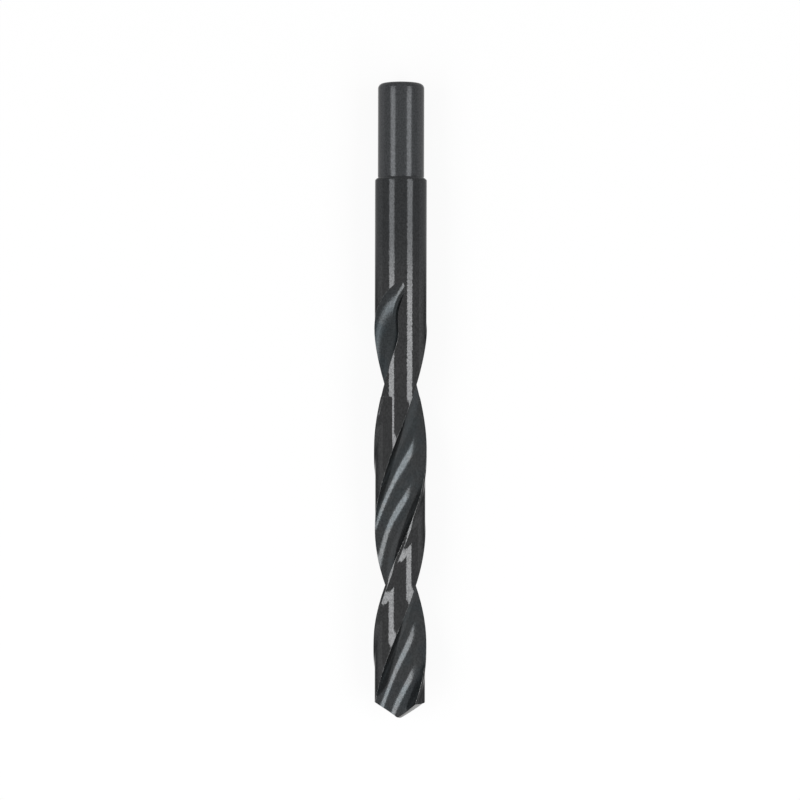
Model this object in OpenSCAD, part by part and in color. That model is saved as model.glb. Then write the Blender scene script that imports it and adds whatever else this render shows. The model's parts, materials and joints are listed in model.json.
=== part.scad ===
// Twist drill with a turned-down shank, lying on its margins with the point towards -Y.
// The drill is drawn standing on its point, with its axis on Z and z = 0 at the chisel edge,
// and is then laid down. Sections are worked out from the leading edge of one land, and the
// other half of each section is the same one turned by half a turn.

/* [Lengths] */
// Overall length, from the chisel edge to the end of the shank
overall_length = 137; // [125:0.5:170]
// Length of the fluted body, from the chisel edge to where the flutes run out
flute_length = 94; // [70:0.5:100]
// Length of the turned-down shank
shank_length = 20.5; // [14:0.5:28]

/* [Diameters] */
// Drill diameter, across the crests of the two margins at the point
drill_diameter = 11.5; // [9:0.1:14]
// How much thinner the drill is across its margins 100 mm from the point
back_taper = 0.1; // [0:0.01:0.2]
// Diameter of the shank that the chuck grips
shank_diameter = 10; // [6:0.1:10.4]
// How far the neck lies below the crests of the margins, on the radius
neck_step = 0.15; // [0.12:0.01:0.4]

/* [Flutes] */
// Length along the axis in which a flute makes one full turn, right-handed
flute_lead = 83.1; // [60:0.1:130]
// Thickness of the web at the point
web_at_point = 1.65; // [1:0.05:2.4]
// How much thicker the web is 100 mm from the point
web_gain = 2.74; // [0.5:0.01:4]
// Angle from the floor of a flute to its leading edge, at the point, in degrees
leading_side_angle = 56.7; // [50:0.1:66]
// How much that angle closes up over 100 mm, in degrees
leading_side_closing = 3.2; // [0:0.1:20]
// Angle from the floor of a flute to its heel, in degrees
heel_side_angle = 50.9; // [44:0.1:58]
// How full the flute is on its leading side, as a share of the half width at the mouth
leading_side_fullness = 0.55; // [0.3:0.005:0.7]
// How full the flute is on its heel side, as a share of the half width at the mouth
heel_side_fullness = 0.645; // [0.4:0.005:0.85]
// Turn of the leading edge from the front of the drill at the chisel edge, in degrees
leading_edge_turn = 20.1; // [0:0.1:359]

/* [Lands] */
// Width of the margin, measured round the land
margin_width = 0.7; // [0.4:0.02:1.2]
// How far the two edges of the margin are rounded off below its crest
margin_rounding = 0.01; // [0.01:0.005:0.1]
// Width of the flat behind the margin, measured round the land
flat_width = 1.3; // [0.6:0.05:2]
// How far the back edge of that flat lies below the crest, on the radius
flat_depth = 0.3; // [0.1:0.01:0.5]
// How far the rest of the land lies below the crest, on the radius
clearance_depth = 0.3; // [0.1:0.01:0.5]
// How far the land rises again towards its heel, on the radius
heel_rise = 0.07; // [0:0.01:0.08]
// How far the heel stands proud of the neck's round where the flute climbs out
heel_lip = 0.1; // [0:0.01:0.2]

/* [Flute run-out] */
// Length in which a flute climbs out of the body
climb_length = 18; // [10:0.5:30]
// Length in which its mouth closes
mouth_length = 15; // [8:0.5:20]
// Turn of the mouth towards the heel where the flute climbs out, in degrees
mouth_turn = 13.5; // [0:0.1:20]
// How much the mouth narrows on its leading side there, in degrees
mouth_narrowing = 7.6; // [0:0.1:14]
// How pointed its end is: 0.5 makes half an ellipse, 1 makes a parabola
mouth_sharpness = 0.6; // [0.5:0.05:1]
// Length below the run-out over which the lands keep the neck's round
round_land_length = 24.5; // [20:0.5:40]
// Where the clearance starts there, in degrees behind the leading edge
clearance_start_turn = 30; // [24:1:50]

/* [Point] */
// Point angle, between the two lips, in degrees
point_angle = 118; // [100:1:140]
// How far the flank has fallen away at the heel
flank_relief = 0.15; // [0.05:0.01:0.6]
// How far the ends of the chisel edge lie behind its middle
chisel_rise = 0.18; // [0.05:0.01:0.3]

/* [Turned end] */
// Chamfer on the shoulder between neck and shank
shoulder_chamfer = 0.35; // [0.1:0.05:0.5]
// Radius that rounds off the end of the shank
shank_end_radius = 1.1; // [0.4:0.1:2]

/* [Hidden] */

drill_radius = drill_diameter / 2;
neck_radius = drill_radius - neck_step;
shank_radius = shank_diameter / 2;
clearance_radius = drill_radius - clearance_depth;
flat_radius = drill_radius - flat_depth;
// Where the lands end they lie this far inside the neck's round
seat_inset = 0.02;
body_top_radius = neck_radius - seat_inset;
// Above its last section the fluted body goes on into the neck as a blunt plug
plug_radius = body_top_radius - 1;
plug_height = flute_length + 1;

turn_per_mm = 360 / flute_lead;
margin_angle = margin_width / drill_radius * 180 / PI;
flat_angle = flat_width / drill_radius * 180 / PI;
gain_length = 100;
half_turn = 180;

// The mouth never closes past this share, so that the last ring keeps all its points
smallest_mouth = 0.07;
// The mouth turns over between these two distances from the end of the run-out
turn_start = 49;
turn_end = 2.1;
// and narrows on its leading side between these two
narrow_start = 32.3;
narrow_end = 7.6;
// Length in which the margins and flats step up or down from the neck's round
land_step_length = 0.5;
// The clearance rises to the neck's round over this turn, as a plane would leave a cylinder
clearance_rise_turn = acos(min(1, clearance_radius / neck_radius));
steepest_rise_turn = 60;
// Turn in front of the heel in which the land rises
heel_turn = 12;
// The heel's lip grows between these two distances from the end of the run-out
lip_start = 20;
lip_end = 11;

point_slope = 1 / tan(point_angle / 2);
web_radius_at_point = web_at_point / 2;
chisel_reach = chisel_rise / point_slope;
// Turn behind the lip in which most of the flank's relief is reached
relief_turn = 23;
// Height above the chisel edge at which the rings have become level
level_height = 12;

// Steps of the mesh: round the margin, the flat and the rest of a land, across half a
// flute, and along the body
margin_steps = 2;
flat_steps = 2;
clearance_steps = 12;
flute_steps = 11;
ring_count = 66;
land_steps = margin_steps + flat_steps + clearance_steps;
half_steps = land_steps + 2 * flute_steps;
ring_steps = 2 * half_steps;

// Plain helpers
function mix(a, b, share) = a + (b - a) * share;
function clamp(value) = min(1, max(0, value));
function ease(value) = let (c = clamp(value)) c * c * (3 - 2 * c);
function polar(radius, angle) = [radius * cos(angle), radius * sin(angle)];
function turned(p, angle) =
    [p.x * cos(angle) - p.y * sin(angle), p.x * sin(angle) + p.y * cos(angle)];
function held_in(p, limit) = norm(p) > limit ? p * limit / norm(p) : p;

// A curve with two end points and one control point
function arc_point(start, control, end, t) =
    (1 - t) * (1 - t) * start + 2 * t * (1 - t) * control + t * t * end;

// How the flute changes along the drill
function edge_turn(z) = leading_edge_turn - 90 + turn_per_mm * z;
function climb(z) = pow(clamp(1 - (flute_length - z) / climb_length), 2);
function mouth_share(z) =
    let (run = clamp(1 - (flute_length - z) / mouth_length))
    max(smallest_mouth, pow(1 - run * run, mouth_sharpness));
function mouth_shift(z) =
    mouth_turn * ease((z - flute_length + turn_start) / (turn_start - turn_end));
function mouth_loss(z) =
    mouth_narrowing * ease((z - flute_length + narrow_start) / (narrow_start - narrow_end));
function land_cut(z) = ease((flute_length - z - round_land_length) / land_step_length);
function floor_radius(z) =
    mix(web_radius_at_point + web_gain / 2 * z / gain_length, body_top_radius, climb(z));
function open_angle(z) = leading_side_angle - leading_side_closing * z / gain_length;
function floor_angle(z) = -open_angle(z) - mouth_shift(z);
function leading_half(z) = (open_angle(z) - mouth_loss(z)) * mouth_share(z);
function heel_half(z) = heel_side_angle * mouth_share(z);
function land_from(z) = floor_angle(z) + leading_half(z);
function land_to(z) = half_turn + floor_angle(z) - heel_half(z);

// One land, from its leading edge (step 0) to its heel: a margin with a rounded crest, a
// flat, and a round clearance. Near the run-out it steps up or down to the neck's round, and
// the clearance there ends along a straight line.
function land_angle(step, z) =
    step <= margin_steps ? margin_angle * step / margin_steps
    : step <= margin_steps + flat_steps
        ? margin_angle + flat_angle * (step - margin_steps) / flat_steps
    : mix(margin_angle + flat_angle, land_to(z) - land_from(z),
          (step - margin_steps - flat_steps) / clearance_steps);
function margin_radius(step) =
    drill_radius - margin_rounding * pow(2 * step / margin_steps - 1, 2);
function flat_point(share) =
    mix(polar(margin_radius(margin_steps), margin_angle),
        polar(flat_radius, margin_angle + flat_angle), share);
round_land_start = flute_length - round_land_length;
clearance_line_turn =
    edge_turn(round_land_start) + land_from(round_land_start) + clearance_start_turn;
function rise_turn(step, z) =
    edge_turn(z) + land_from(z) + land_angle(step, z) - clearance_line_turn
    + clearance_rise_turn;
function risen_radius(turn) =
    max(clearance_radius,
        min(neck_radius, clearance_radius / cos(min(steepest_rise_turn, max(0, turn)))));
function cut_radius(step, z) =
    step <= margin_steps ? margin_radius(step)
    : step <= margin_steps + flat_steps
        ? norm(flat_point((step - margin_steps) / flat_steps))
    : risen_radius(rise_turn(step, z));
function lip_height(z) =
    heel_lip * mouth_share(z) * ease((z - flute_length + lip_start) / (lip_start - lip_end));
function heel_share(step, z) =
    pow(clamp(1 - (land_angle(land_steps, z) - land_angle(step, z)) / heel_turn), 2);
function land_radius(step, z) =
    mix(body_top_radius,
        cut_radius(step, z) - back_taper / 2 * z / gain_length
        + heel_rise * heel_share(step, z),
        land_cut(z))
    + lip_height(z) * heel_share(step, z);
function widest_radius(z) = mix(body_top_radius, drill_radius, land_cut(z));
function land_point(step, z) =
    polar(land_radius(step, z), land_from(z) + land_angle(step, z));

// One flute, in a frame whose x axis runs through its floor: from its heel (share 0) to the
// floor (share 1), and from the floor (share 0) to its leading edge (share 1)
function heel_side(share, z) =
    let (edge = polar(land_radius(land_steps, z), -heel_half(z)),
         floor_x = floor_radius(z))
    arc_point(edge, [floor_x, heel_side_fullness * edge.y], [floor_x, 0], share);
function leading_side(share, z) =
    let (edge = polar(land_radius(0, z), leading_half(z)),
         floor_x = floor_radius(z))
    arc_point([floor_x, 0], [floor_x, leading_side_fullness * edge.y], edge, share);
function flute_point(step, z) =
    let (local = step <= flute_steps
         ? heel_side(step / flute_steps, z)
         : leading_side(step / flute_steps - 1, z))
    turned(held_in(local, widest_radius(z) + lip_height(z)), half_turn + floor_angle(z));

// Half of a section: a land, and the flute behind it
function half_point(step, z) =
    step <= land_steps ? land_point(step, z) : flute_point(step - land_steps, z);
function section_point(step, z) =
    turned(step < half_steps ? half_point(step, z) : -half_point(step - half_steps, z),
           edge_turn(z));

// The ground point. Both flanks follow a cone that is blunted over the web, and fall away
// behind the lips. Each point of the outline is raised until it lies on its flank.
function cone_height(radius) =
    point_slope * sqrt(max(0, pow(radius, 2) - pow(web_radius_at_point, 2)
                              + pow(chisel_reach, 2)));
function relief(turn) = flank_relief * (1 - exp(-turn / relief_turn));
function flank_height(step, z) =
    let (radius = norm(half_point(step, z)),
         heel = land_angle(land_steps, z),
         fall = step <= land_steps ? relief(land_angle(step, z))
              : step <= land_steps + flute_steps
                ? relief(heel) * (radius - floor_radius(z)) / (clearance_radius - floor_radius(z))
              : 0)
    cone_height(radius) + fall;
function settled_height(step, z, rounds) =
    rounds == 0 ? z : settled_height(step, flank_height(step, z), rounds - 1);
end_heights = [for (step = [0:half_steps - 1]) settled_height(step, 0, 4)];

function ring_height(step, ring) =
    let (level = flute_length * ring / ring_count,
         end = end_heights[step % half_steps])
    level + end * max(0, 1 - level / level_height);
function ring_point(step, ring) =
    let (z = ring_height(step, ring), p = section_point(step, z))
    [p.x, p.y, z];

// Each flank is a patch between its lip, its land, its heel and the chisel edge
function wrapped(step) = (step + ring_steps) % ring_steps;
function lip_point(share_step, side) =
    ring_point(wrapped(side * half_steps - flute_steps + share_step), 0);
function heel_point(share_step, side) =
    ring_point(wrapped(side * half_steps + land_steps + flute_steps - share_step), 0);
function rim_point(land_step, side) = ring_point(side * half_steps + land_step, 0);
function rim_share(land_step) = land_angle(land_step, 0) / land_angle(land_steps, 0);
function chisel_point(share, side) =
    let (near = lip_point(0, side), far = heel_point(0, side), across = mix(near, far, share))
    [across.x, across.y, near.z * abs(2 * share - 1)];
function flank_point(out_step, land_step, side) =
    let (out = out_step / flute_steps,
         round = rim_share(land_step),
         corners = mix(mix(chisel_point(0, side), chisel_point(1, side), round),
                       mix(rim_point(0, side), rim_point(land_steps, side), round), out))
    mix(chisel_point(round, side), rim_point(land_step, side), out)
    + mix(lip_point(out_step, side), heel_point(out_step, side), round) - corners;

function plug_point(step) =
    let (p = section_point(step, flute_length), edge = p * plug_radius / norm(p))
    [edge.x, edge.y, plug_height];

// The fluted body is one mesh: rings from the point to the neck and the plug above them,
// then the inner points of the two flanks, then the middle of the top
ring_points = concat(
    [for (ring = [0:ring_count], step = [0:ring_steps - 1]) ring_point(step, ring)],
    [for (step = [0:ring_steps - 1]) plug_point(step)]);
flank_inner = [for (side = [0, 1], out = [1:flute_steps - 1], land = [1:land_steps - 1])
               flank_point(out, land, side)];
chisel_inner = [for (land = [1:land_steps - 1]) chisel_point(rim_share(land), 0)];
body_points = concat(ring_points, flank_inner, chisel_inner, [[0, 0, plug_height]]);

inner_start = len(ring_points);
inner_per_side = (flute_steps - 1) * (land_steps - 1);
chisel_start = inner_start + len(flank_inner);
top_middle = chisel_start + len(chisel_inner);

// Number of the point at a place of a flank. Side 1 runs along the chisel edge backwards.
function chisel_number(land, side) =
    chisel_start + (side == 0 ? land - 1 : land_steps - 1 - land);
function flank_number(out, land, side) =
    land == 0 ? wrapped(side * half_steps - flute_steps + out)
    : land == land_steps ? wrapped(side * half_steps + land_steps + flute_steps - out)
    : out == flute_steps ? side * half_steps + land
    : out == 0 ? chisel_number(land, side)
    : inner_start + side * inner_per_side + (out - 1) * (land_steps - 1) + land - 1;

// Two triangles for each four-sided cell, clockwise as seen from outside
function cell(a, b, c, d) = [[a, c, b], [a, d, c]];
wall_faces = [for (ring = [0:ring_count], step = [0:ring_steps - 1])
    let (low = ring * ring_steps, high = low + ring_steps, next = (step + 1) % ring_steps)
    each cell(low + step, low + next, high + next, high + step)];
flank_faces = [for (side = [0, 1], out = [0:flute_steps - 1], land = [0:land_steps - 1])
    each cell(flank_number(out, land, side), flank_number(out, land + 1, side),
              flank_number(out + 1, land + 1, side), flank_number(out + 1, land, side))];
top_start = (ring_count + 1) * ring_steps;
top_faces = [for (step = [0:ring_steps - 1])
    [top_middle, top_start + (step + 1) % ring_steps, top_start + step]];

module fluted_body() {
    polyhedron(points = body_points, faces = concat(wall_faces, flank_faces, top_faces));
}

// Neck, shoulder and shank are turned round the axis. The neck starts as a cone inside the
// fluted body, and reaches its own round where the flutes end.
shoulder_height = overall_length - shank_length;
end_round_steps = 8;
end_round = [for (i = [0:end_round_steps])
    let (angle = 90 * i / end_round_steps)
    [shank_radius - shank_end_radius * (1 - cos(angle)),
     overall_length - shank_end_radius * (1 - sin(angle))]];
turned_outline = concat(
    [[0, flute_length - neck_radius],
     [neck_radius, flute_length],
     [neck_radius, shoulder_height - shoulder_chamfer],
     [neck_radius - shoulder_chamfer, shoulder_height],
     [shank_radius, shoulder_height]],
    end_round,
    [[0, overall_length]]);

module neck_and_shank() {
    rotate_extrude($fn = 96) polygon(turned_outline);
}

module drill_bit() {
    color([0.2, 0.22, 0.23])
        translate([0, -overall_length / 2, drill_radius])
            rotate([-90, 0, 0])
                union() {
                    fluted_body();
                    neck_and_shank();
                }
}

drill_bit();
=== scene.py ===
"""Looks of a twist drill with a turned-down shank, lying on its margins under two strip lamps.

The drill is one closed surface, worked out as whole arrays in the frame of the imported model:
its axis lies along +Y, the point towards -Y. In the functions on its form a height is the
distance from the chisel edge along the axis, and an angle is counted round the axis from the
leading edge of one land. The other half of each section is the same one, turned half a turn.
"""

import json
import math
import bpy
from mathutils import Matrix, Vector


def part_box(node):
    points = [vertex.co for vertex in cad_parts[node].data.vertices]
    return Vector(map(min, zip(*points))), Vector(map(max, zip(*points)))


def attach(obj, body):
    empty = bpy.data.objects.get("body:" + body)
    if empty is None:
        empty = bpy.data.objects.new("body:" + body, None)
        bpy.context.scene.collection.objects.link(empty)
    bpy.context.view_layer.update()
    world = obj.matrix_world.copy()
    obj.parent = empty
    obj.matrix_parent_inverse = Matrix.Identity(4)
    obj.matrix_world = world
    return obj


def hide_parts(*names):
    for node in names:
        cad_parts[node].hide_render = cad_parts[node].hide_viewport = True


bl_info = {
    "name": "Twist drill",
    "version": (1, 0, 0),
    "blender": (4, 5, 0),
    "location": "3D View > Sidebar > Twist drill",
    "description": "A black twist drill with a ground point, and the studio it lies in",
    "category": "Add Mesh",
}

import bpy
import numpy as np

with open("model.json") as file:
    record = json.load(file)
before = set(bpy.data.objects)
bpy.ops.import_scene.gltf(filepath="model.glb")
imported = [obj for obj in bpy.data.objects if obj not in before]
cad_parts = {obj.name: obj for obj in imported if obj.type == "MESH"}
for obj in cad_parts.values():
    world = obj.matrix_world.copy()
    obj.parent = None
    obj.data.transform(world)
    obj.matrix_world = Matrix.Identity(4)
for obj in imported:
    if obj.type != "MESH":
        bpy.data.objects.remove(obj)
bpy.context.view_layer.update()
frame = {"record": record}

MM = 0.001
NODE = "drill_bit"

_, high_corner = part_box(NODE)
FRAME_LENGTH = 2 * high_corner.y
shank_mount = next(m for m in frame["record"]["mounts"] if m["name"] == "shank")
FRAME_AXIS_HEIGHT = shank_mount["pos_m"][2]
FRAME_SHANK_RADIUS = shank_mount["dims"]["r_mm"] * MM
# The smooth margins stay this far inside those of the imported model, which have facets
MARGIN_INSET = 0.012 * MM


def length(name, description, default):
    """A property that holds a length in metres."""
    return bpy.props.FloatProperty(
        name=name, description=description, default=default, unit="LENGTH",
        precision=5, min=0.0)


def degrees(name, description, default):
    """A property that holds an angle, given here in degrees."""
    return bpy.props.FloatProperty(
        name=name, description=description, default=math.radians(default), subtype="ANGLE")


def plain(name, description, default):
    """A property that holds a plain number."""
    return bpy.props.FloatProperty(name=name, description=description, default=default)


def colour(name, description, default):
    """A property that holds a linear colour."""
    return bpy.props.FloatVectorProperty(
        name=name, description=description, default=default, subtype="COLOR", size=3,
        min=0.0, max=1.0)


class DrillForm(bpy.types.PropertyGroup):
    """Sizes of the drill."""

    overall_length: length("Overall length", "From the chisel edge to the shank's end",
                           FRAME_LENGTH)
    flute_length: length("Flute length", "From the chisel edge to the flutes' run-out",
                         94 * MM)
    shank_length: length("Shank length", "Length of the turned-down shank", 20.5 * MM)
    drill_radius: length("Drill radius", "Radius over the margins, at the point",
                         FRAME_AXIS_HEIGHT - MARGIN_INSET)
    back_taper: plain("Back taper", "How much the radius falls for each metre of length",
                      0.0005)
    neck_step: length("Neck step", "How far the neck lies below the margins",
                      0.15 * MM - MARGIN_INSET)
    shank_radius: length("Shank radius", "Radius of the shank", FRAME_SHANK_RADIUS)
    flute_lead: length("Flute lead", "Length of one full turn of a flute", 83.1 * MM)
    web_at_point: length("Web", "Thickness of the web at the point", 1.65 * MM)
    web_gain: plain("Web gain", "How much thicker the web gets for each metre", 0.0274)
    leading_side_angle: degrees("Leading side", "From a flute's floor to its leading edge",
                                56.7)
    leading_side_closing: plain("Closing", "Degrees by which that angle closes each metre",
                                32.0)
    heel_side_angle: degrees("Heel side", "From a flute's floor to its heel", 50.9)
    leading_side_fullness: plain("Leading fullness", "How full the leading side is", 0.55)
    heel_side_fullness: plain("Heel fullness", "How full the heel side is", 0.645)
    leading_edge_turn: degrees("Turn", "Where the leading edge lies at the chisel edge",
                               20.1)
    margin_width: length("Margin", "Width of the margin, round the land", 0.7 * MM)
    margin_rounding: length("Margin rounding", "How far its two edges are rounded off",
                            0.01 * MM)
    flat_width: length("Flat", "Width of the flat behind the margin", 1.3 * MM)
    flat_depth: length("Flat depth", "Depth of the flat's back edge", 0.3 * MM)
    clearance_depth: length("Clearance", "Depth of the rest of the land", 0.3 * MM)
    heel_rise: length("Heel rise", "How far the land rises towards its heel", 0.07 * MM)
    heel_lip: length("Heel lip", "How far the heel stands proud at the run-out", 0.1 * MM)
    edge_rounding: length("Edge rounding", "Width rounded off at a flute's two edges",
                          0.06 * MM)
    mouth_rounding: length("Mouth rounding", "The same at the mouth's leading side",
                           0.02 * MM)
    climb_length: length("Climb", "Length in which a flute climbs out", 18 * MM)
    mouth_length: length("Mouth", "Length in which its mouth closes", 15 * MM)
    mouth_turn: degrees("Mouth turn", "Turn of the mouth as the flute climbs out", 13.5)
    mouth_narrowing: degrees("Mouth narrowing", "How much its leading side closes in there",
                             7.6)
    mouth_dent: degrees("Mouth dent", "How far that side is drawn in halfway up", 14)
    mouth_sharpness: plain("Mouth sharpness", "0.5 makes half an ellipse, 1 a parabola",
                           0.6)
    round_land_length: length("Round lands", "Length over which they keep the neck's round",
                              24.5 * MM)
    clearance_start: degrees("Clearance start", "Behind the leading edge, where they end",
                             30)
    point_angle: degrees("Point angle", "Between the two lips", 118)
    flank_relief: length("Relief", "How far a flank falls away at the heel", 0.25 * MM)
    chisel_rise: length("Chisel rise", "How far the chisel edge's ends lie back", 0.18 * MM)
    shoulder_chamfer: length("Shoulder chamfer", "Chamfer between neck and shank",
                             0.35 * MM)
    shank_end_radius: length("Shank end radius", "Rounding of the shank's end", 1.1 * MM)


class DrillFinish(bpy.types.PropertyGroup):
    """Colours and roughness of the drill's surfaces."""

    land_oxide: colour("Land oxide", "Colour of the black oxide on the lands",
                       (0.055, 0.0558, 0.057))
    neck_oxide: colour("Neck oxide", "The same on the neck", (0.029, 0.0305, 0.032))
    shank_oxide: colour("Shank oxide", "The same on the shank", (0.039, 0.041, 0.0435))
    flute_oxide: colour("Flute oxide", "The same in the flutes", (0.050, 0.0525, 0.054))
    blue_oxide: colour("Blue oxide", "The same where it is bluest", (0.042, 0.051, 0.056))
    bare_steel: colour("Bare steel", "Steel where an edge is worn bright",
                       (0.46, 0.46, 0.455))
    ground_steel: colour("Ground steel", "Freshly ground flanks of the point",
                         (0.20, 0.20, 0.197))
    roughness: plain("Roughness", "Roughness of the lands", 0.05)
    edge_tint: plain("Edge tint", "Share of light reflected at a grazing angle", 0.35)


# Width of the camera's sensor in millimetres
SENSOR_WIDTH = 36.0


class StudioSet(bpy.types.PropertyGroup):
    """Camera, lamps and floor."""

    camera_distance: length("Camera distance", "From the lens to the drill's axis",
                            561.6 * MM)
    focal_length: plain("Focal length", "Focal length of the lens in millimetres", 117.0)
    camera_x: plain("Camera x", "Place of the camera across the drill, in metres",
                    -0.1 * MM)
    camera_y: plain("Camera y", "Place of the camera along the drill, in metres",
                    0.18 * MM)
    camera_roll: degrees("Camera roll", "Turn of the camera round its line of sight", 0.13)
    lamp_angle: degrees("Lamp angle", "Between a lamp and the line of sight", 40.8)
    lamp_distance: length("Lamp distance", "From a lamp to the drill's axis", 900 * MM)
    lamp_width: length("Lamp width", "Width of a strip lamp", 375 * MM)
    lamp_length: length("Lamp length", "Length of a strip lamp", 1380 * MM)
    lamp_shift: plain("Lamp shift", "Shift of the lamps along the drill, in metres",
                      -460 * MM)
    lamp_radiance: plain("Lamp radiance", "Radiance of the strip lamps", 5.5)
    sky: plain("Sky", "Radiance of the room above the floor", 0.7)
    floor: colour("Floor", "Colour of the floor", (0.6, 0.6, 0.6))
    floor_size: length("Floor size", "Length of each side of the floor", 4.0)
    floor_glow: plain("Floor white", "Share of the floor seen as plain white", 0.9)


# Plain helpers on arrays

def mix(a, b, share):
    """a where share is 0, b where it is 1, and in a straight line between."""
    return a + (b - a) * share


def ease(value):
    """From 0 to 1, with a level start and end: 3 times the square less twice the cube."""
    held = np.clip(value, 0.0, 1.0)
    return held * held * (3.0 - 2.0 * held)


def rising(first, last, steps):
    """Evenly spaced values after the first, up to the last."""
    return np.linspace(first, last, steps + 1)[1:]


def polar(radius, angle):
    """Point at a radius and an angle round the axis."""
    return np.stack([radius * np.cos(angle), radius * np.sin(angle)], -1)


def turned(points, angle):
    """Points turned round the axis by an angle."""
    cos, sin = np.cos(angle), np.sin(angle)
    x, y = points[..., 0], points[..., 1]
    return np.stack([x * cos - y * sin, x * sin + y * cos], -1)


def bend(start, control, end, share):
    """Curve with two end points and one control point: the start weighs the square of
    what is left of the share, the end the square of the share, the control the rest."""
    t = share[..., None]
    return (1 - t) ** 2 * start + 2 * t * (1 - t) * control + t * t * end


# Steps across half a section: a land, then the flute behind it
MARGIN_STEPS = 7
FLAT_STEPS = 7
CLEARANCE_STEPS = 46
FILLET_STEPS = 6
SIDE_STEPS = 26
LAND_STEPS = MARGIN_STEPS + FLAT_STEPS + CLEARANCE_STEPS
FLUTE_SIDE_STEPS = FILLET_STEPS + SIDE_STEPS
HALF_STEPS = LAND_STEPS + 2 * FLUTE_SIDE_STEPS
RING_STEPS = 2 * HALF_STEPS

# Rings up the body, up its run-out, up the neck, up the shank, round its end and across it
BODY_RINGS = 190
MOUTH_RINGS = 60
NECK_RINGS = 25
SHANK_RINGS = 15
ROUND_END_RINGS = 12
END_RINGS = 6

# Turn behind the lip in which most of the flank's relief is reached
RELIEF_TURN = math.radians(23)
# Height at which the rings have become level
LEVEL_HEIGHT = 12 * MM
# Turn in front of the heel in which the land rises
HEEL_TURN = math.radians(12)
# Distances from the run-out's end between which the mouth turns over, its leading side
# closes in, the heel's lip grows and fades again, and the leading edge is worn no more
TURN_START, TURN_END = 49 * MM, 2.1 * MM
NARROW_START, NARROW_END = 32.3 * MM, 7.6 * MM
LIP_START, LIP_END = 20 * MM, 11 * MM
LIP_FADE = 6 * MM
WORN_START, WORN_END = 13 * MM, 9 * MM
# Middle and half length of the stretch in which the mouth's leading side is drawn in
DENT_MIDDLE, DENT_REACH = 6.5 * MM, 6.5 * MM
# Length in which the flats take their form
FLAT_START_LENGTH = 5 * MM
# Length in which margins and flats step to the neck's round
LAND_STEP_LENGTH = 0.4 * MM
LAND_STEP_RINGS = 7
# Turn past the start of the clearance's plane after which its turn is held, so that the
# cosine stays above 0
STEEPEST_RISE = math.radians(60)
# The mouth never closes past this share, so that no two columns meet
SMALLEST_MOUTH = 0.03
# How much closer the clearance's columns stand at the heel
HEEL_CROWDING = 0.5
# Length of neck in which the columns spread evenly round
SPREAD_LENGTH = 18 * MM
# Rounds in which the heights of the ground point settle
SETTLE_ROUNDS = 5
# Rounding of the chisel edge's middle, as a share of its half length
CHISEL_ROUNDING = 0.05
# Rounding of the shoulder's corners, and depth of the groove at the foot of the shank
SHOULDER_ROUNDING = 0.12 * MM
GROOVE_DEPTH = 0.07 * MM
# Columns from the middle of a rounded edge to where its wear has gone, and the width of
# the fade up to there
WEAR_REACH, WEAR_FADE = 3, 2


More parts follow.
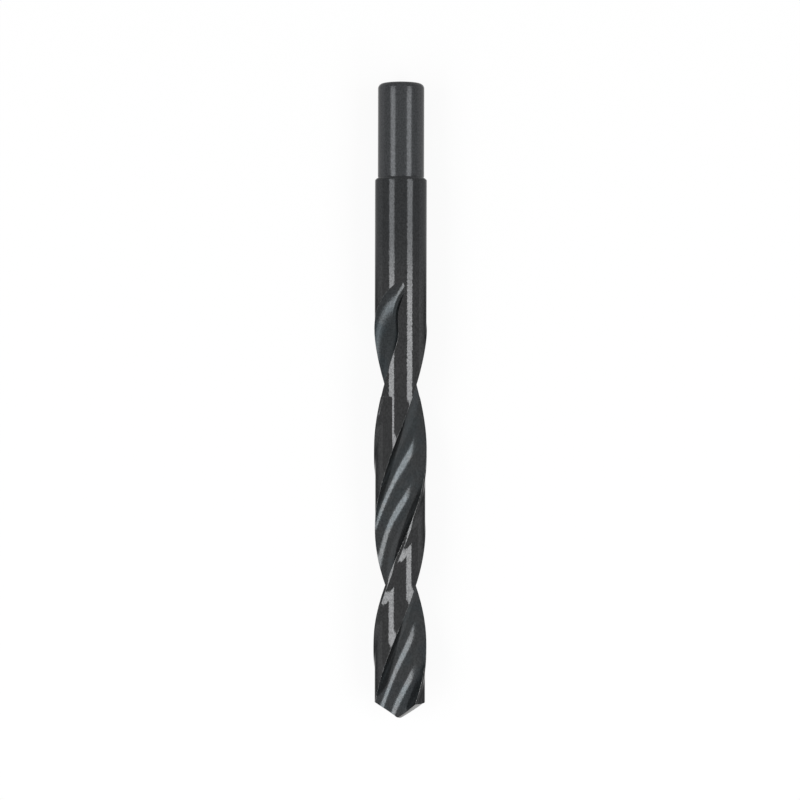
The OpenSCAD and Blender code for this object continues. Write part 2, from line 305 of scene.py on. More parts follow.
class Section:
    """Form of the drill's cross-section. Heights are arrays, with a row for each ring and
    a column for each step round half of the section."""

    def __init__(self, form):
        self.form = form
        self.neck_radius = form.drill_radius - form.neck_step
        self.clearance_radius = form.drill_radius - form.clearance_depth
        self.flat_radius = form.drill_radius - form.flat_depth
        self.margin_angle = form.margin_width / form.drill_radius
        self.flat_angle = form.flat_width / form.drill_radius
        self.turn_rate = 2 * math.pi / form.flute_lead
        self.rise_width = math.acos(min(1, self.clearance_radius / self.neck_radius))
        start = form.flute_length - form.round_land_length
        self.clearance_line = (self.edge_turn(start) + self.land_from(start)
                               + form.clearance_start)

    def edge_turn(self, z):
        """Turn of the section: in proportion to the height, one full turn in each lead."""
        return self.form.leading_edge_turn - math.pi / 2 + self.turn_rate * z

    def to_end(self, z):
        """Distance left to the end of the run-out."""
        return self.form.flute_length - z

    def mouth_share(self, z):
        """Width of the mouth: constant, then closing to its pointed end. The square of the
        run is taken off 1, and the rest is raised to the sharpness."""
        run = np.clip(1 - self.to_end(z) / self.form.mouth_length, 0, 1)
        left = np.maximum(0, 1 - run * run)
        return np.maximum(SMALLEST_MOUTH, left ** self.form.mouth_sharpness)

    def mouth_shift(self, z):
        """Turn of the mouth towards the heel, eased in along the drill."""
        share = (TURN_START - self.to_end(z)) / (TURN_START - TURN_END)
        return self.form.mouth_turn * ease(share)

    def mouth_loss(self, z):
        """Turn by which the leading side closes in, eased in along the drill."""
        share = (NARROW_START - self.to_end(z)) / (NARROW_START - NARROW_END)
        return self.form.mouth_narrowing * ease(share)

    def land_cut(self, z):
        """1 where a land has its own form, 0 where it has the neck's round."""
        return ease((self.to_end(z) - self.form.round_land_length) / LAND_STEP_LENGTH)

    def floor_radius(self, z):
        """Half the web, which thickens evenly, and at the end climbs as a parabola."""
        form = self.form
        climb = np.clip(1 - self.to_end(z) / form.climb_length, 0, 1) ** 2
        web = form.web_at_point / 2 + form.web_gain / 2 * z
        return mix(web, self.neck_radius, climb)

    def open_angle(self, z):
        """Angle from the floor to the leading edge, closing evenly along the drill."""
        return self.form.leading_side_angle - math.radians(1) * (
            self.form.leading_side_closing * z)

    def floor_angle(self, z):
        """Place of the floor of the flute in front of the land."""
        return -self.open_angle(z) - self.mouth_shift(z)

    def leading_half(self, z):
        """Angle from the floor to the leading edge, with the mouth's dent taken off."""
        dent = ease(1 - np.abs(self.to_end(z) - DENT_MIDDLE) / DENT_REACH)
        whole = (self.open_angle(z) - self.mouth_loss(z)) * self.mouth_share(z)
        return whole - self.form.mouth_dent * dent

    def heel_half(self, z):
        """Angle from the floor to the heel, in proportion to the mouth's width."""
        return self.form.heel_side_angle * self.mouth_share(z)

    def land_from(self, z):
        """Place of the leading edge: the floor's, and the angle from there."""
        return self.floor_angle(z) + self.leading_half(z)

    def land_width(self, z):
        """Angle from the leading edge of a land to its heel."""
        return math.pi + self.floor_angle(z) - self.heel_half(z) - self.land_from(z)

    def worn_share(self, z):
        """1 where the leading edge is worn, 0 where it isn't, at the mouth."""
        return ease((self.to_end(z) - WORN_END) / (WORN_START - WORN_END))

    def lip_height(self, z):
        """Height of the heel's lip, which grows and fades along the run-out."""
        share = (LIP_START - self.to_end(z)) / (LIP_START - LIP_END)
        fade = self.to_end(z) / LIP_FADE
        return self.form.heel_lip * self.mouth_share(z) * ease(share) * ease(fade)

    def clearance(self, turn, z):
        """Radius of the clearance: round, but where it starts near the run-out a plane
        leads up to the neck's round. Its radius is the clearance's over the cosine of the
        turn past the place where the plane begins."""
        past = self.edge_turn(z) + self.land_from(z) + turn - self.clearance_line
        held = np.clip(past + self.rise_width, 0, STEEPEST_RISE)
        plane = np.minimum(self.neck_radius, self.clearance_radius / np.cos(held))
        return np.maximum(self.clearance_radius, plane)

    def cut_radius(self, turn, z):
        """Radius of a finished land: a margin crowned as a parabola, a straight flat that
        grows out of the clearance along the drill, and the clearance."""
        form = self.form
        across = 2 * turn / self.margin_angle - 1
        margin = form.drill_radius - form.margin_rounding * across ** 2
        start = polar(form.drill_radius - form.margin_rounding, self.margin_angle)
        end = polar(self.flat_radius, self.margin_angle + self.flat_angle)
        side = end - start
        cross = start[0] * side[1] - start[1] * side[0]
        slope = np.cos(turn) * side[1] - np.sin(turn) * side[0]
        on_flat = (turn > self.margin_angle) & (turn < self.margin_angle + self.flat_angle)
        started = ease((self.to_end(z) - form.round_land_length) / FLAT_START_LENGTH)
        flat = mix(self.clearance(turn, z), cross / np.where(on_flat, slope, side[1]), started)
        return np.where(turn <= self.margin_angle, margin,
                        np.where(on_flat, flat, self.clearance(turn, z)))

    def land_radius(self, turn, z):
        """Radius of a land at a turn behind its leading edge: the cut form less the back
        taper, or the neck's round, with a heel that rises as a parabola."""
        form = self.form
        heel = np.clip(1 - (self.land_width(z) - turn) / HEEL_TURN, 0, 1) ** 2
        cut = self.cut_radius(turn, z) - form.back_taper * z + form.heel_rise * heel
        level = mix(self.neck_radius, cut, self.land_cut(z))
        return level + self.lip_height(z) * heel

    def land_point(self, turn, z):
        """Point of a land at a turn behind its leading edge."""
        return polar(self.land_radius(turn, z), self.land_from(z) + turn)

    def flute_sides(self, z):
        """End points and control points of the heel side and the leading side of a flute,
        in the frame of half of the section."""
        form = self.form
        width = self.land_width(z)
        floor = self.floor_radius(z)
        heel = polar(self.land_radius(width, z), -self.heel_half(z))
        lead = polar(self.land_radius(0 * z, z), self.leading_half(z))
        middle = np.stack([floor, 0 * floor], -1)
        heel_control = np.stack([floor, form.heel_side_fullness * heel[..., 1]], -1)
        lead_control = np.stack([floor, form.leading_side_fullness * lead[..., 1]], -1)
        turn = math.pi + self.floor_angle(z)
        return [turned(p, turn) for p in (heel, heel_control, middle, lead_control, lead)]

    def half_points(self, z):
        """Points of half a section, one for each column of z: margin, flat, clearance, the
        rounded heel, both sides of the flute, and the rounded leading edge. An edge is
        rounded by a curve that starts and ends its rounding's width from the edge."""
        form = self.form
        step = np.arange(HALF_STEPS)[None, :] + 0 * z
        width = self.land_width(z)
        rounding = form.edge_rounding * self.mouth_share(z)
        mouth_rounding = form.mouth_rounding * self.mouth_share(z)
        lead_rounding = mix(mouth_rounding, rounding, self.worn_share(z))
        round_turn = rounding / form.drill_radius
        lead_turn = lead_rounding / form.drill_radius
        heel, heel_control, middle, lead_control, lead = self.flute_sides(z)
        opposite = -self.land_point(0 * z, z)

        near_turn = mix(lead_turn, self.margin_angle, step / MARGIN_STEPS)
        flat_share = np.clip((step - MARGIN_STEPS) / FLAT_STEPS, 0, 1) ** 2
        flat_turn = self.margin_angle + self.flat_angle * flat_share
        clear_from = self.margin_angle + self.flat_angle
        clear_share = (step - MARGIN_STEPS - FLAT_STEPS) / CLEARANCE_STEPS
        crowded = clear_share + HEEL_CROWDING * clear_share * (1 - clear_share)
        clear_turn = mix(clear_from, width - round_turn, crowded)
        turn = np.where(step <= MARGIN_STEPS, near_turn,
                        np.where(step <= MARGIN_STEPS + FLAT_STEPS, flat_turn, clear_turn))
        land = self.land_point(turn, z)

        heel_start = rounding / np.maximum(
            2 * np.linalg.norm(heel_control - heel, axis=-1), form.edge_rounding)
        lead_start = lead_rounding / np.maximum(
            2 * np.linalg.norm(lead_control - lead, axis=-1), form.edge_rounding)

        fillet = np.clip((step - LAND_STEPS) / FILLET_STEPS, 0, 1)
        heel_fillet = bend(self.land_point(width - round_turn, z), heel,
                           bend(heel, heel_control, middle, heel_start), fillet)
        heel_share = mix(heel_start, 1, (step - LAND_STEPS - FILLET_STEPS) / SIDE_STEPS)
        heel_side = bend(heel, heel_control, middle, np.clip(heel_share, 0, 1))
        floor_step = LAND_STEPS + FLUTE_SIDE_STEPS
        lead_share = mix(0, 1 - lead_start, (step - floor_step) / SIDE_STEPS)
        lead_side = bend(middle, lead_control, lead, np.clip(lead_share, 0, 1))
        fillet = np.clip((step - floor_step - SIDE_STEPS) / FILLET_STEPS, 0, 1)
        lead_fillet = bend(bend(middle, lead_control, lead, 1 - lead_start), opposite,
                           -self.land_point(lead_turn, z), fillet)

        points = np.where((step <= LAND_STEPS)[..., None], land, heel_fillet)
        points = np.where((step > LAND_STEPS + FILLET_STEPS)[..., None], heel_side, points)
        points = np.where((step > floor_step)[..., None], lead_side, points)
        points = np.where((step > floor_step + SIDE_STEPS)[..., None], lead_fillet, points)
        limit = mix(self.neck_radius, form.drill_radius, self.land_cut(z)) + self.lip_height(z)
        held = np.minimum(1, limit / np.linalg.norm(points, axis=-1))
        return points * held[..., None], turn

    def ring_points(self, z):
        """Whole rings: half of the section and its opposite, turned to their height."""
        half, _ = self.half_points(z)
        whole = np.concatenate([half, -half], 1)
        both = np.concatenate([z, z], 1)
        return turned(whole, self.edge_turn(both))

    def end_heights(self):
        """Height of the ground point at each step of half a section. The flanks follow a
        cone that is blunted over the web, and fall away behind the lips. The section
        changes as it rises, so the heights are settled in rounds."""
        form = self.form
        slope = 1 / math.tan(form.point_angle / 2)
        reach = form.chisel_rise / slope
        web = form.web_at_point / 2
        step = np.arange(HALF_STEPS)[None, :]
        z = np.zeros((1, HALF_STEPS))
        for _ in range(SETTLE_ROUNDS):
            half, turn = self.half_points(z)
            radius = np.linalg.norm(half, axis=-1)
            cone = slope * np.sqrt(np.maximum(0, radius ** 2 - web ** 2 + reach ** 2))
            floor = self.floor_radius(z)
            across = (radius - floor) / (self.clearance_radius - floor)
            heel_fall = self.relief(self.land_width(z)) * np.clip(across, 0, 1)
            fall = np.where(step <= LAND_STEPS, self.relief(turn),
                            np.where(step <= LAND_STEPS + FLUTE_SIDE_STEPS, heel_fall, 0))
            z = cone + fall
        return z[0]

    def relief(self, turn):
        """How far a flank has fallen away: the part still to fall shrinks by the same
        share in each RELIEF_TURN behind the lip."""
        return self.form.flank_relief * (1 - np.exp(-turn / RELIEF_TURN))


def body_heights(section):
    """Heights of the body's rings. They start on the ground point, become level, and crowd
    together where the mouth closes, as equal turns of its quarter ellipse."""
    form = section.form
    top = form.flute_length - form.mouth_length
    turn = rising(0, math.pi / 2, MOUTH_RINGS)
    step = form.flute_length - form.round_land_length
    level = np.union1d(np.linspace(0, top, BODY_RINGS),
                       np.linspace(step - LAND_STEP_LENGTH, step, LAND_STEP_RINGS))
    level = np.concatenate([level, top + form.mouth_length * np.sin(turn)])
    ends = section.end_heights()[None, :]
    return level[:, None] + ends * np.maximum(0, 1 - level[:, None] / LEVEL_HEIGHT)


def quarter_arc(centre, radius, steps):
    """Points of a quarter circle in the plane of height and radius, from the side up to
    the end, with the first point left out."""
    angle = rising(0, math.pi / 2, steps)
    return np.stack([centre[0] + radius * np.sin(angle),
                     centre[1] + radius * np.cos(angle)], -1)


def turned_profile(section):
    """Heights and radii up the neck, over the rounded shoulder, through a shallow groove,
    up the shank, round its end and in towards its middle."""
    form = section.form
    neck = section.neck_radius
    shank = form.shank_radius
    chamfer = form.shoulder_chamfer
    corner = SHOULDER_ROUNDING
    shoulder = form.overall_length - form.shank_length
    round_end = form.overall_length - form.shank_end_radius
    flat_end = shank - form.shank_end_radius
    neck_z = rising(form.flute_length, shoulder - chamfer - corner, NECK_RINGS)
    shank_z = rising(shoulder + 3 * corner, round_end, SHANK_RINGS)
    inner = rising(flat_end, 0, END_RINGS + 1)[:-1]
    return np.concatenate([
        np.stack([neck_z, neck + 0 * neck_z], -1),
        [[shoulder - chamfer - corner / 3, neck - corner / 12],
         [shoulder - chamfer + corner / 3, neck - corner / 3],
         [shoulder - corner / 2, neck - chamfer + corner / 3],
         [shoulder, neck - chamfer],
         [shoulder + corner / 8, neck - chamfer - corner / 2],
         [shoulder + corner / 8, shank + corner / 4],
         [shoulder, shank - GROOVE_DEPTH / 2],
         [shoulder + corner, shank - GROOVE_DEPTH],
         [shoulder + 2 * corner, shank - GROOVE_DEPTH],
         [shoulder + 3 * corner, shank]],
        np.stack([shank_z, shank + 0 * shank_z], -1),
        quarter_arc((round_end, flat_end), form.shank_end_radius, ROUND_END_RINGS),
        np.stack([form.overall_length + 0 * inner, inner], -1)])


def turned_rings(section, top):
    """Rings of the neck and shank: the profile carried round the axis. Their columns go on
    from the body's top ring, and spread evenly up the neck."""
    profile = turned_profile(section)
    angle = np.unwrap(np.arctan2(top[:, 1], top[:, 0]))
    even = angle[0] + np.arange(RING_STEPS) * 2 * math.pi / RING_STEPS
    spread = ease((profile[:, 0] - section.form.flute_length) / SPREAD_LENGTH)[:, None]
    around = mix(angle, even, spread)
    height = profile[:, 0, None] + 0 * around
    return np.concatenate([polar(profile[:, 1, None], around), height[..., None]], -1)


def flank_columns(side):
    """Columns of a ring along three edges of a flank: its lip and its heel, both from the
    floor outwards, and its land from the leading edge back."""
    start = side * HALF_STEPS
    out = np.arange(FLUTE_SIDE_STEPS + 1)
    back = np.arange(LAND_STEPS + 1)
    lip = start - FLUTE_SIDE_STEPS + out
    heel = start + LAND_STEPS + FLUTE_SIDE_STEPS - out
    return [columns % RING_STEPS for columns in (lip, heel, start + back)]


def flank_patch(ring, side):
    """Points of one ground flank: a surface carried by its four edges, which are the lip,
    the land, the heel and the chisel edge. Each pair of facing edges is joined by straight
    lines, the two surfaces are added, and the one through the corners is taken off."""
    lip, heel, rim = [ring[columns] for columns in flank_columns(side)]
    share = (np.arange(LAND_STEPS + 1) / LAND_STEPS)[None, :, None]
    along = (np.arange(FLUTE_SIDE_STEPS + 1) / FLUTE_SIDE_STEPS)[:, None, None]
    chisel = chisel_edge(lip[0], heel[0])
    between_ends = mix(chisel[None], rim[None], along)
    between_sides = mix(lip[:, None], heel[:, None], share)
    corners = mix(mix(chisel[0], chisel[-1], share), mix(rim[0], rim[-1], share), along)
    return between_ends + between_sides - corners


def chisel_edge(near, far):
    """Chisel edge from one floor to the other, with a rounded lowest middle: its height
    follows the square root of the distance's square plus a small square."""
    share = np.linspace(0, 1, LAND_STEPS + 1)[:, None]
    edge = mix(near, far, share)
    edge[:, 2] = near[2] * np.hypot(2 * share[:, 0] - 1, CHISEL_ROUNDING)
    return edge


def cell_faces(grid):
    """Four-sided faces between neighbouring numbers of a grid. They face outwards where the
    columns go round counterclockwise as seen from the top, and the rows go up the drill,
    or outwards under its point."""
    return np.stack([grid[:-1, :-1], grid[:-1, 1:], grid[1:, 1:], grid[1:, :-1]],
                    -1).reshape(-1, 4)


def flank_faces(side, chisel_numbers, inner_numbers):
    """Faces of one flank, between points of the first ring, of the chisel edge, which the
    two flanks share, and inside the flank."""
    lip, heel, land = flank_columns(side)
    grid = np.zeros((len(lip), len(land)), int)
    grid[:, 0] = lip
    grid[:, -1] = heel
    grid[-1] = land
    grid[0, 1:-1] = chisel_numbers if side == 0 else chisel_numbers[::-1]
    grid[1:-1, 1:-1] = inner_numbers.reshape(len(lip) - 2, len(land) - 2)
    return cell_faces(grid)


def drill_surface(section):
    """Points of the whole drill, standing on its point, and the faces of its walls, of the
    shank's end and of the two flanks. The points are numbered in that order too: rings from
    the point up, the middle of the shank's end, the chisel edge and both flanks' insides."""
    half_z = body_heights(section)
    z = np.concatenate([half_z, half_z], 1)
    body = np.concatenate([section.ring_points(half_z), z[..., None]], -1)
    rings = np.concatenate([body, turned_rings(section, body[-1])])
    middle = len(rings) * RING_STEPS
    number = np.arange(middle).reshape(-1, RING_STEPS)
    wrapped = np.concatenate([number, number[:, :1]], 1)
    last = wrapped[-1]
    cap = np.stack([last[:-1], last[1:], 0 * last[1:] + middle], -1)

    patches = [flank_patch(rings[0], side) for side in (0, 1)]
    insides = [patch[1:-1, 1:-1].reshape(-1, 3) for patch in patches]
    chisel_numbers = middle + 1 + np.arange(LAND_STEPS - 1)
    inner_numbers = middle + LAND_STEPS + np.arange(2 * len(insides[0])).reshape(2, -1)
    flanks = [flank_faces(side, chisel_numbers, inner_numbers[side]) for side in (0, 1)]
    points = [rings.reshape(-1, 3), [[0, 0, section.form.overall_length]],
              patches[0][0, 1:-1], *insides]
    return np.concatenate(points), cell_faces(wrapped), cap, np.concatenate(flanks)


def step_values():
    """For each column of a ring: 1 in a flute and 0 on a land, then how worn its heel and
    its leading edge are, from 1 at the rounding's middle down to 0."""
    step = np.arange(HALF_STEPS)
    in_flute = ((step > LAND_STEPS + 1) & (step < HALF_STEPS - 1)).astype(float)
    from_heel = np.abs(step - LAND_STEPS - FILLET_STEPS / 2)
    from_lead = np.abs(np.minimum(step + FILLET_STEPS / 2,
                                  HALF_STEPS - FILLET_STEPS / 2 - step))
    heel, lead = [np.clip((WEAR_REACH - distance) / WEAR_FADE, 0, 1)
                  for distance in (from_heel, from_lead)]
    return [np.tile(values, 2) for values in (in_flute, heel, lead)]


def lay_down(points, form):
    """Turns the standing drill onto its side: its height runs along +Y, its front looks up,
    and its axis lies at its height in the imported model."""
    return np.stack([points[:, 0], points[:, 2] - form.overall_length / 2,
                     FRAME_AXIS_HEIGHT - points[:, 1]], -1)


def point_attribute(mesh, name, values):
    """Gives each vertex a value that materials read by its name."""
    attribute = mesh.attributes.new(name, "FLOAT", "POINT")
    attribute.data.foreach_set("value", values.astype(np.float32))


def build_drill(form, materials):
    """Makes the drill's mesh and object, with its materials, values and sharp edges."""
    section = Section(form)
    points, walls, cap, flanks = drill_surface(section)
    placed = lay_down(points, form)
    mesh = bpy.data.meshes.new("drill")
    faces = walls.tolist() + cap.tolist() + flanks.tolist()
    mesh.from_pydata(placed.tolist(), [], faces)
    for material in materials:
        mesh.materials.append(material)
    ground = np.zeros(len(faces), np.int32)
    ground[len(walls) + len(cap):] = 1
    mesh.polygons.foreach_set("material_index", ground)
    mesh.polygons.foreach_set("use_smooth", np.ones(len(faces), bool))

    in_flute, heel, lead = step_values()
    rings = len(walls) // RING_STEPS + 1
    z = points[:rings * RING_STEPS, 2]
    on_body = section.mouth_share(z) * (z < form.flute_length)
    on_lead = on_body * section.worn_share(z)
    for name, column, share in (("in_flute", in_flute, on_body), ("heel_edge", heel, on_body),
                                ("lead_edge", lead, on_lead)):
        values = np.zeros(len(points))
        values[:len(z)] = np.tile(column, rings) * share
        point_attribute(mesh, name, values)

    edges = np.zeros(len(mesh.edges) * 2, np.int32)
    mesh.edges.foreach_get("vertices", edges)
    sharp = (edges.reshape(-1, 2) < RING_STEPS).all(1)
    attribute = mesh.attributes.new("sharp_edge", "BOOLEAN", "EDGE")
    attribute.data.foreach_set("value", sharp)
    mesh.update()
    mesh.validate()
    drill = bpy.data.objects.new("drill", mesh)
    bpy.context.scene.collection.objects.link(drill)
    return drill


# Materials. Lengths on the drill are in millimetres here

# Between these distances from the end of the flutes, their run-out and the neck take on
# their own finish, and between these distances from the shoulder the shank does
RUN_OUT_FADE = -26.0, -10.0
NECK_FADE = -6.0, 12.0
SHANK_FADE = -0.3, 0.1

# Noises: scale, number of finer layers, and how strong those are
GRAIN = 2.4, 2.0, 0.5
SPECKLE = 3.0, 2.0, 0.6
PATCHES = 0.22, 3.0, 0.55
STREAKS = 4.0, 3.0, 0.6
DRAWN_LINES = 5.0, 2.0, 0.5
WEAR = 1.6, 3.0, 0.6
GRINDING_LINES = 1.0, 3.0, 0.6
DULL_PATCHES = 1.2, 2.0, 0.5

# Factors on the three directions, which stretch streaks and drawn lines along the drill
# and make the grinding lines fine across it
STREAK_FACTORS = 1, 0.03, 1
DRAWN_FACTORS = 1, 0.02, 1
GRINDING_FACTORS = 14, 1.2, 1.2

# Values of the noises between which each pattern goes from none to full
SPECKLE_RANGE = 0.38, 0.62
PATCH_RANGE = 0.42, 0.62
WEAR_RANGE = 0.42, 0.62
DULL_RANGE = 0.3, 0.7

# Black oxide: contrast of its speckle and streaks, how blue patches and run-out are, how
# dark the run-out is, and how worn the edges are
SPECKLE_CONTRAST = 0.44
STREAK_CONTRAST = 0.12
PATCH_BLUE, RUN_OUT_BLUE = 0.5, 0.5
RUN_OUT_DARK = 0.30
LEAD_WEAR, HEEL_WEAR = 0.70, 0.35

# What each region adds to the roughness of the lands, and takes off their metallic share
FLUTE_ROUGH, RUN_OUT_ROUGH, NECK_ROUGH, SHANK_ROUGH, PATCH_ROUGH = 0.09, 0.16, 0.05, 0.06, 0.02
LAND_METAL = 0.93
FLUTE_DULL, NECK_DULL, SHANK_DULL = 0.13, 0.36, 0.14

# Bumps of the oxide: how much smoother flutes and shank are, the weight of the finer
# patterns, and the strength and depth of it all
FLUTE_SMOOTH, SHANK_SMOOTH = 0.45, 0.7
SPECKLE_BUMP, STREAK_BUMP, DRAWN_BUMP = 0.05, 0.3, 0.2
OXIDE_BUMP_STRENGTH, OXIDE_BUMP_DEPTH = 0.8, 0.016 * MM

# Ground steel: how dull its patches are, its roughness, and the bumps of its lines
DULL_STEEL, DULL_AMOUNT = 0.7, 0.4
GROUND_ROUGH, GROUND_LINES_ROUGH = 0.26, 0.16
GROUND_BUMP_STRENGTH, GROUND_BUMP_DEPTH = 0.6, 0.01 * MM


class Wire:
    """An output of a node. Expressions on it add Math nodes."""

    def __init__(self, graph, socket):
        self.graph = graph
        self.socket = socket

    def out(self, name):
        """Another output of the same node."""
        return Wire(self.graph, self.socket.node.outputs[name])

    def __add__(self, other):
        return self.graph.math("ADD", self, other)

    def __radd__(self, other):
        return self.graph.math("ADD", other, self)

    def __sub__(self, other):
        return self.graph.math("SUBTRACT", self, other)

    def __rsub__(self, other):
        return self.graph.math("SUBTRACT", other, self)

    def __mul__(self, other):
        return self.graph.math("MULTIPLY", self, other)

    def __rmul__(self, other):
        return self.graph.math("MULTIPLY", other, self)


class Graph:
    """The nodes of one material or world."""

    def __init__(self, owner):
        owner.use_nodes = True
        self.tree = owner.node_tree
        self.tree.nodes.clear()

    def node(self, kind, settings=None, sockets=None):
        """Adds a node. Its settings come first, then the values or links of its sockets."""
        made = self.tree.nodes.new(kind)
        for name, value in (settings or {}).items():
            setattr(made, name, value)
        for name, value in (sockets or {}).items():
            if isinstance(value, Wire):
                self.tree.links.new(value.socket, made.inputs[name])
            else:
                made.inputs[name].default_value = value
        outputs = [socket for socket in made.outputs if socket.enabled]
        return Wire(self, outputs[0]) if outputs else None

    def math(self, operation, *values):
        """A sum, product or other result of numbers."""
        return self.node("ShaderNodeMath", {"operation": operation},
                         dict(enumerate(values)))

    def vector(self, operation, *values):
        """The same for vectors."""
        return self.node("ShaderNodeVectorMath", {"operation": operation},
                         dict(enumerate(values)))

    def scaled(self, vector, factors):
        """A vector with each of its parts multiplied by a factor of its own."""
        return self.vector("MULTIPLY", vector, factors)

    def blend(self, share, first, second):
        """Colour between two colours, which the Mix node takes on its sockets 6 and 7."""
        sockets = {0: share, 6: first, 7: second}
        return self.node("ShaderNodeMix", {"data_type": "RGBA", "blend_type": "MIX"}, sockets)

    def ramp(self, value, low, high):
        """0 below low, 1 above high, eased between."""
        return self.node("ShaderNodeMapRange", {"interpolation_type": "SMOOTHSTEP"},
                         {0: value, 1: low, 2: high})

    def noise(self, vector, scale, detail, rough):
        """Noise between 0 and 1, with a number of finer layers and their strength."""
        return self.node("ShaderNodeTexNoise", {"noise_dimensions": "3D"},
                         {"Vector": vector, "Scale": scale, "Detail": detail,
                          "Roughness": rough})

    def attribute(self, name):
        """Value that the drill's vertices carry under a name."""
        return self.node("ShaderNodeAttribute", {"attribute_name": name}).out("Fac")


def rgba(value):
    """Opaque colour, as a node takes it."""
    return (*value, 1.0)


def varied(pattern, contrast):
    """Factor round 1 that varies with a pattern between 0 and 1."""
    return (1 - contrast / 2) + pattern * contrast


def drill_places(graph, form):
    """Coordinates in millimetres: as the drill lies, the same with the flutes' twist taken
    out, and the height above the point."""
    place = graph.node("ShaderNodeTexCoord").out("Object")
    shifted = graph.vector("SUBTRACT", place,
                           (0, -form.overall_length / 2, FRAME_AXIS_HEIGHT))
    lying = graph.scaled(shifted, (1 / MM,) * 3)
    height = graph.node("ShaderNodeSeparateXYZ", None, {0: lying}).out("Y")
    rate = 2 * math.pi / (form.flute_lead / MM)
    untwisted = graph.node("ShaderNodeVectorRotate", {"rotation_type": "Y_AXIS"},
                           {"Vector": lying, "Angle": height * -rate})
    return lying, untwisted, height


def black_oxide_material(form, finish):
    """Satin black oxide. Fine grain and speckle, streaks and cooler patches in the flutes,
    a duller neck and shank, and edges worn to bare steel."""
    material = bpy.data.materials.new("black_oxide")
    graph = Graph(material)
    lying, untwisted, height = drill_places(graph, form)
    in_flute = graph.attribute("in_flute")
    heel_edge = graph.attribute("heel_edge")
    lead_edge = graph.attribute("lead_edge")

    flutes_end = form.flute_length / MM
    shoulder = (form.overall_length - form.shank_length) / MM
    run_out = graph.ramp(height - flutes_end, *RUN_OUT_FADE) * in_flute
    neck = graph.ramp(height - flutes_end, *NECK_FADE)
    shank = graph.ramp(height - shoulder, *SHANK_FADE)

    grain = graph.noise(lying, *GRAIN)
    speckle = graph.ramp(graph.noise(lying, *SPECKLE), *SPECKLE_RANGE)
    patches = graph.noise(lying, *PATCHES)
    streaks = graph.noise(graph.scaled(untwisted, STREAK_FACTORS), *STREAKS)
    drawn = graph.noise(graph.scaled(lying, DRAWN_FACTORS), *DRAWN_LINES)
    worn_places = graph.ramp(graph.noise(lying, *WEAR), *WEAR_RANGE)

    turned_end = graph.blend(shank, rgba(finish.neck_oxide), rgba(finish.shank_oxide))
    outside = graph.blend(neck, rgba(finish.land_oxide), turned_end)
    blue = graph.ramp(patches, *PATCH_RANGE) * PATCH_BLUE + run_out * RUN_OUT_BLUE
    flute = graph.blend(blue, rgba(finish.flute_oxide), rgba(finish.blue_oxide))
    oxide = graph.blend(in_flute, outside, flute)
    level = (varied(speckle, SPECKLE_CONTRAST) * varied(streaks * in_flute, STREAK_CONTRAST)
             * (1 - run_out * RUN_OUT_DARK))
    levels = graph.node("ShaderNodeCombineXYZ", None, {0: level, 1: level, 2: level})
    shaded = graph.vector("MULTIPLY", oxide, levels)
    wear = (lead_edge * LEAD_WEAR + heel_edge * HEEL_WEAR) * worn_places
    worn = graph.blend(wear, shaded, rgba(finish.bare_steel))

    roughness = (finish.roughness + in_flute * FLUTE_ROUGH + run_out * RUN_OUT_ROUGH
                 + neck * NECK_ROUGH + shank * SHANK_ROUGH + patches * PATCH_ROUGH)
    metal = LAND_METAL - in_flute * FLUTE_DULL - neck * NECK_DULL - shank * SHANK_DULL
    bumps = (grain * (1.0 - in_flute * FLUTE_SMOOTH - shank * SHANK_SMOOTH)
             + speckle * SPECKLE_BUMP + streaks * in_flute * STREAK_BUMP
             + drawn * neck * DRAWN_BUMP)
    bump = graph.node("ShaderNodeBump", None,
                      {"Strength": OXIDE_BUMP_STRENGTH, "Distance": OXIDE_BUMP_DEPTH,
                       "Height": bumps})
    shader = graph.node("ShaderNodeBsdfPrincipled", None,
                        {"Base Color": worn, "Metallic": metal, "Roughness": roughness,
                         "Specular Tint": rgba((finish.edge_tint,) * 3), "Normal": bump})
    graph.node("ShaderNodeOutputMaterial", None, {"Surface": shader})
    return material


def ground_steel_material(form, finish):
    """Bright steel of the flanks, with the fine lines that the grinding wheel leaves."""
    material = bpy.data.materials.new("ground_steel")
    graph = Graph(material)
    lying, _, _ = drill_places(graph, form)
    lines = graph.noise(graph.scaled(lying, GRINDING_FACTORS), *GRINDING_LINES)
    patches = graph.ramp(graph.noise(lying, *DULL_PATCHES), *DULL_RANGE)
    dull_steel = [part * DULL_STEEL for part in finish.ground_steel]
    steel = graph.blend(patches * DULL_AMOUNT, rgba(finish.ground_steel), rgba(dull_steel))
    bump = graph.node("ShaderNodeBump", None,
                      {"Strength": GROUND_BUMP_STRENGTH, "Distance": GROUND_BUMP_DEPTH,
                       "Height": lines})
    shader = graph.node("ShaderNodeBsdfPrincipled", None,
                        {"Base Color": steel, "Metallic": 1.0,
                         "Roughness": GROUND_ROUGH + lines * GROUND_LINES_ROUGH,
                         "Normal": bump})
    graph.node("ShaderNodeOutputMaterial", None, {"Surface": shader})
    return material


def floor_material(studio):
    """Plain pale floor. Seen directly or in the steel, part of it is plain white, and the
    rest shows the light and the shadow that fall on it."""
    material = bpy.data.materials.new("floor")
    graph = Graph(material)
    path = graph.node("ShaderNodeLightPath")
    seen = graph.math("MAXIMUM", path.out("Is Camera Ray"),
                      graph.math("MAXIMUM", path.out("Is Glossy Ray"),
                                 path.out("Is Transmission Ray")))
    lit = graph.node("ShaderNodeBsdfDiffuse", None, {"Color": rgba(studio.floor)})
    white = graph.node("ShaderNodeEmission", None,
                       {"Color": (1.0, 1.0, 1.0, 1.0), "Strength": 1.0})
    mixed = graph.node("ShaderNodeMixShader", None,
                       {0: seen * studio.floor_glow, 1: lit, 2: white})
    graph.node("ShaderNodeOutputMaterial", None, {"Surface": mixed})
    return material


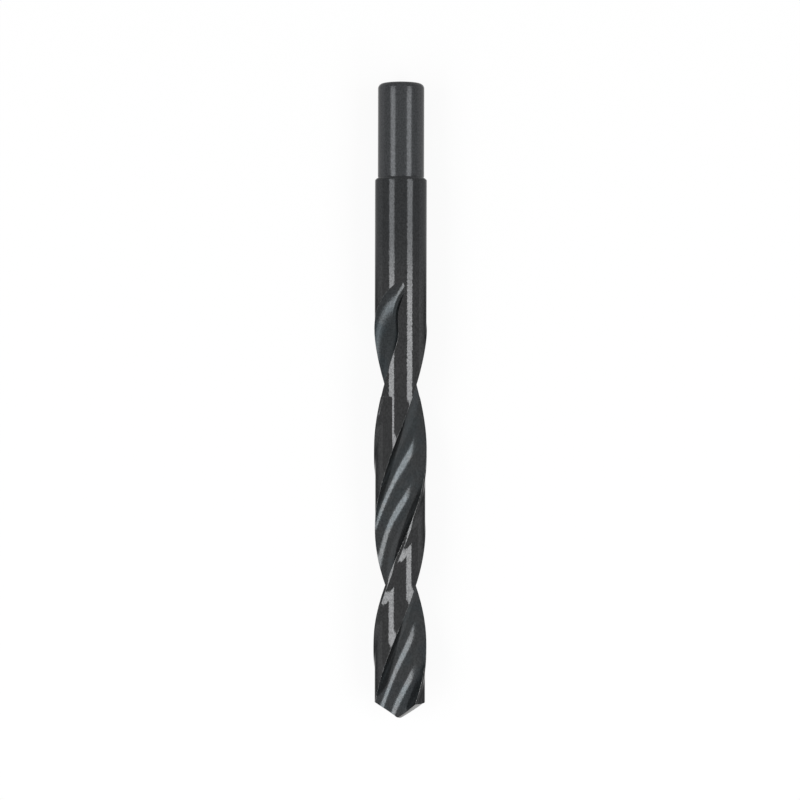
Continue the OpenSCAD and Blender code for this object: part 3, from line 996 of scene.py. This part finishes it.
class MESH_OT_twist_drill(bpy.types.Operator):
    """Build the drill and its finish"""

    bl_idname = "mesh.twist_drill"
    bl_label = "Twist drill"

    def execute(self, context):
        form = context.scene.drill_form
        finish = context.scene.drill_finish
        materials = [black_oxide_material(form, finish), ground_steel_material(form, finish)]
        drill = build_drill(form, materials)
        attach(drill, "root")
        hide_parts(NODE)
        return {"FINISHED"}


def strip_lamp(name, studio, side):
    """A long strip lamp on one side of the camera, -1 or 1, parallel to the drill and
    turned to its axis. Its power is its radiance times pi times its area."""
    data = bpy.data.lights.new(name, "AREA")
    data.shape = "RECTANGLE"
    data.size = studio.lamp_width
    data.size_y = studio.lamp_length
    data.energy = studio.lamp_radiance * math.pi * studio.lamp_width * studio.lamp_length
    lamp = bpy.data.objects.new(name, data)
    angle = side * studio.lamp_angle
    lamp.location = (studio.lamp_distance * math.sin(angle), studio.lamp_shift,
                     FRAME_AXIS_HEIGHT + studio.lamp_distance * math.cos(angle))
    lamp.rotation_euler = (0, angle, 0)
    lamp.visible_camera = False
    bpy.context.scene.collection.objects.link(lamp)


def studio_world(studio):
    """A plain white room above the floor, at an even radiance."""
    world = bpy.data.worlds.new("studio")
    graph = Graph(world)
    light = graph.node("ShaderNodeBackground", None,
                       {"Color": (1.0, 1.0, 1.0, 1.0), "Strength": studio.sky})
    graph.node("ShaderNodeOutputWorld", None, {"Surface": light})
    bpy.context.scene.world = world


class SCENE_OT_drill_studio(bpy.types.Operator):
    """Set up the camera, the two strip lamps, the room and the floor"""

    bl_idname = "scene.drill_studio"
    bl_label = "Studio"

    def execute(self, context):
        scene = context.scene
        studio = scene.drill_studio
        lens = bpy.data.cameras.new("camera")
        lens.lens = studio.focal_length
        lens.sensor_width = SENSOR_WIDTH
        camera = bpy.data.objects.new("camera", lens)
        camera.location = (studio.camera_x, studio.camera_y,
                           FRAME_AXIS_HEIGHT + studio.camera_distance)
        camera.rotation_euler = (0, 0, studio.camera_roll)
        scene.collection.objects.link(camera)
        scene.camera = camera
        scene.view_settings.view_transform = "Standard"

        strip_lamp("lamp_left", studio, -1)
        strip_lamp("lamp_right", studio, 1)
        studio_world(studio)

        half = studio.floor_size / 2
        mesh = bpy.data.meshes.new("floor")
        mesh.from_pydata([(-half, -half, 0), (half, -half, 0), (half, half, 0),
                          (-half, half, 0)], [], [(0, 1, 2, 3)])
        mesh.materials.append(floor_material(studio))
        floor = bpy.data.objects.new("floor", mesh)
        scene.collection.objects.link(floor)
        return {"FINISHED"}


class VIEW3D_PT_twist_drill(bpy.types.Panel):
    """Sidebar panel with the drill's and the studio's settings"""

    bl_label = "Twist drill"
    bl_idname = "VIEW3D_PT_twist_drill"
    bl_space_type = "VIEW_3D"
    bl_region_type = "UI"
    bl_category = "Twist drill"

    def draw(self, context):
        scene = context.scene
        for owner, operator in ((scene.drill_form, "mesh.twist_drill"),
                                (scene.drill_finish, None),
                                (scene.drill_studio, "scene.drill_studio")):
            box = self.layout.box()
            for name in owner.__annotations__:
                box.prop(owner, name)
            if operator:
                box.operator(operator)


CLASSES = (DrillForm, DrillFinish, StudioSet, MESH_OT_twist_drill, SCENE_OT_drill_studio,
           VIEW3D_PT_twist_drill)


def register():
    """Registers the classes and gives the scene their settings."""
    for item in CLASSES:
        bpy.utils.register_class(item)
    bpy.types.Scene.drill_form = bpy.props.PointerProperty(type=DrillForm)
    bpy.types.Scene.drill_finish = bpy.props.PointerProperty(type=DrillFinish)
    bpy.types.Scene.drill_studio = bpy.props.PointerProperty(type=StudioSet)


def unregister():
    """Takes the settings and the classes out again."""
    del bpy.types.Scene.drill_studio
    del bpy.types.Scene.drill_finish
    del bpy.types.Scene.drill_form
    for item in reversed(CLASSES):
        bpy.utils.unregister_class(item)


def main():
    """Builds the studio and the drill."""
    register()
    bpy.ops.scene.drill_studio()
    bpy.ops.mesh.twist_drill()


if __name__ == "__main__":
    main()
